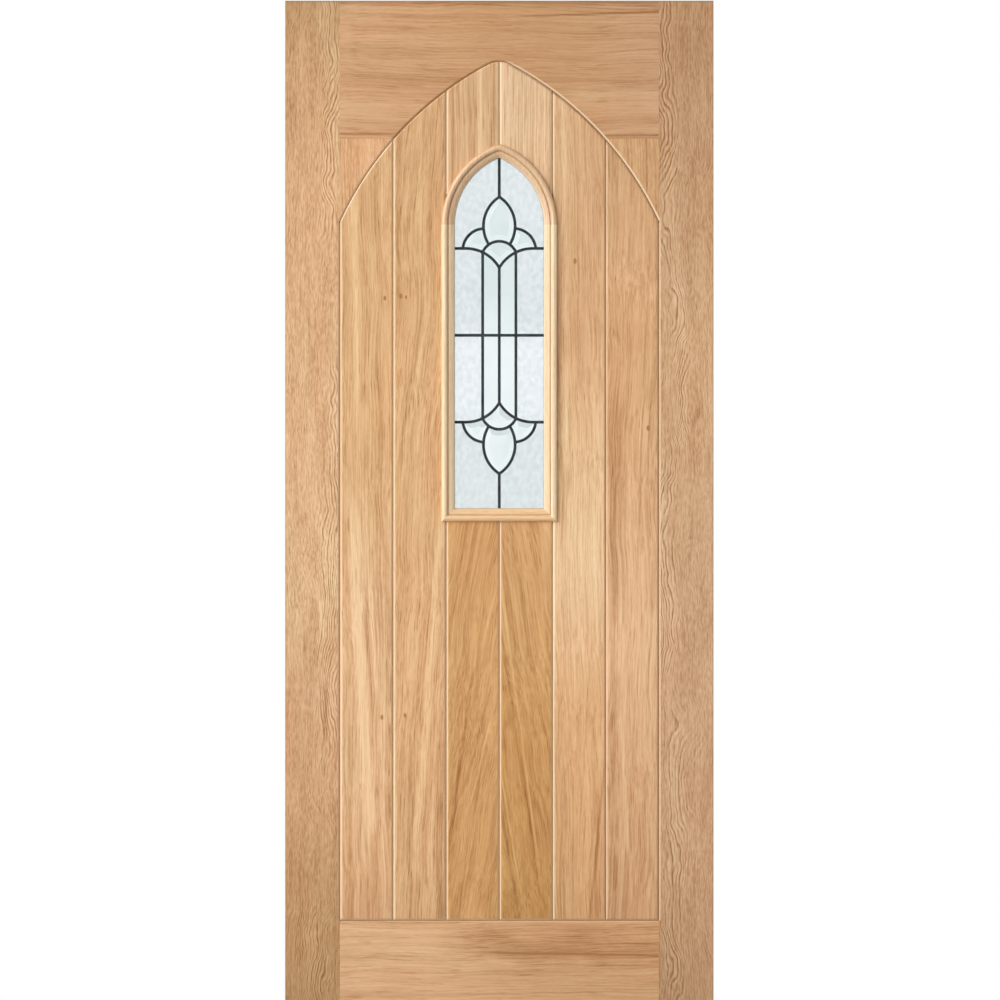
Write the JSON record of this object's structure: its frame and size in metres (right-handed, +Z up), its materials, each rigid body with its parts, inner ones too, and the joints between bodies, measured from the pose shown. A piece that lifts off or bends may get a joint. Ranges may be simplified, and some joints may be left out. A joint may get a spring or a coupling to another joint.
{
  "type": "arched wooden door",
  "caption": "Oak door leaf with stiles and rails round a boarded panel with a pointed arch head, and a narrow pointed light of leaded glass held by moulded beads.",
  "frame": {"origin": "middle of the leaf's bottom edge, at half its thickness", "axes": "+Z up the leaf, +X towards its right edge seen from the front, the front faces -Y"},
  "size_m": [0.838, 0.061, 1.981],
  "materials": {
    "oak_stile": "sanded oak, straight fine grain",
    "oak_rail": "sanded oak, grain along the rail",
    "oak_spandrel": "sanded oak, upright grain",
    "oak_board": "sanded oak boards, each of its own tone",
    "oak_bead": "moulded pale oak",
    "oak_hidden": "hidden core timber",
    "clear_glass": "clear float glass",
    "textured_glass": "obscure textured glass",
    "bevel_glass": "clear glass with a ground bevel",
    "zinc_came": "dull dark zinc",
    "spacer": "satin",
    "seal": "matt",
    "glazing_tape": "matt"
  },
  "bodies": {
    "root": {"left_stile": "oak_stile", "right_stile": "oak_stile", "top_rail": "oak_rail", "bottom_rail": "oak_rail", "left_spandrel": "oak_spandrel", "right_spandrel": "oak_spandrel", "dowels": "oak_hidden", "core_panel": "oak_hidden", "front_board_1": "oak_board", "front_board_2": "oak_board", "front_board_3_upper": "oak_board", "front_board_3_lower": "oak_board", "front_board_4_upper": "oak_board", "front_board_4_lower": "oak_board", "front_board_5": "oak_board", "front_board_6": "oak_board", "back_board_1": "oak_board", "back_board_2": "oak_board", "back_board_3_upper": "oak_board", "back_board_3_lower": "oak_board", "back_board_4_upper": "oak_board", "back_board_4_lower": "oak_board", "back_board_5": "oak_board", "back_board_6": "oak_board", "front_bead_arch": "oak_bead", "front_bead_left": "oak_bead", "front_bead_right": "oak_bead", "front_bead_sill": "oak_bead", "back_bead_arch": "oak_bead", "back_bead_left": "oak_bead", "back_bead_right": "oak_bead", "back_bead_sill": "oak_bead", "glazing_tapes": "glazing_tape", "front_pane": "clear_glass", "back_pane": "clear_glass", "spacer_bars": "spacer", "edge_seal": "seal", "setting_blocks": "seal", "came_lattice": "zinc_came", "glass_upper_left_corner": "textured_glass", "glass_upper_left_flank": "textured_glass", "glass_upper_left_wing": "bevel_glass", "glass_upper_left_strip": "bevel_glass", "glass_upper_right_corner": "textured_glass", "glass_upper_right_flank": "textured_glass", "glass_upper_right_wing": "bevel_glass", "glass_upper_right_strip": "bevel_glass", "glass_upper_petal": "bevel_glass", "glass_upper_dome": "bevel_glass", "glass_lower_left_corner": "textured_glass", "glass_lower_left_flank": "textured_glass", "glass_lower_left_wing": "bevel_glass", "glass_lower_left_strip": "bevel_glass", "glass_lower_right_corner": "textured_glass", "glass_lower_right_flank": "textured_glass", "glass_lower_right_wing": "bevel_glass", "glass_lower_right_strip": "bevel_glass", "glass_lower_petal": "bevel_glass", "glass_lower_dome": "bevel_glass"}
  },
  "joints": []
}
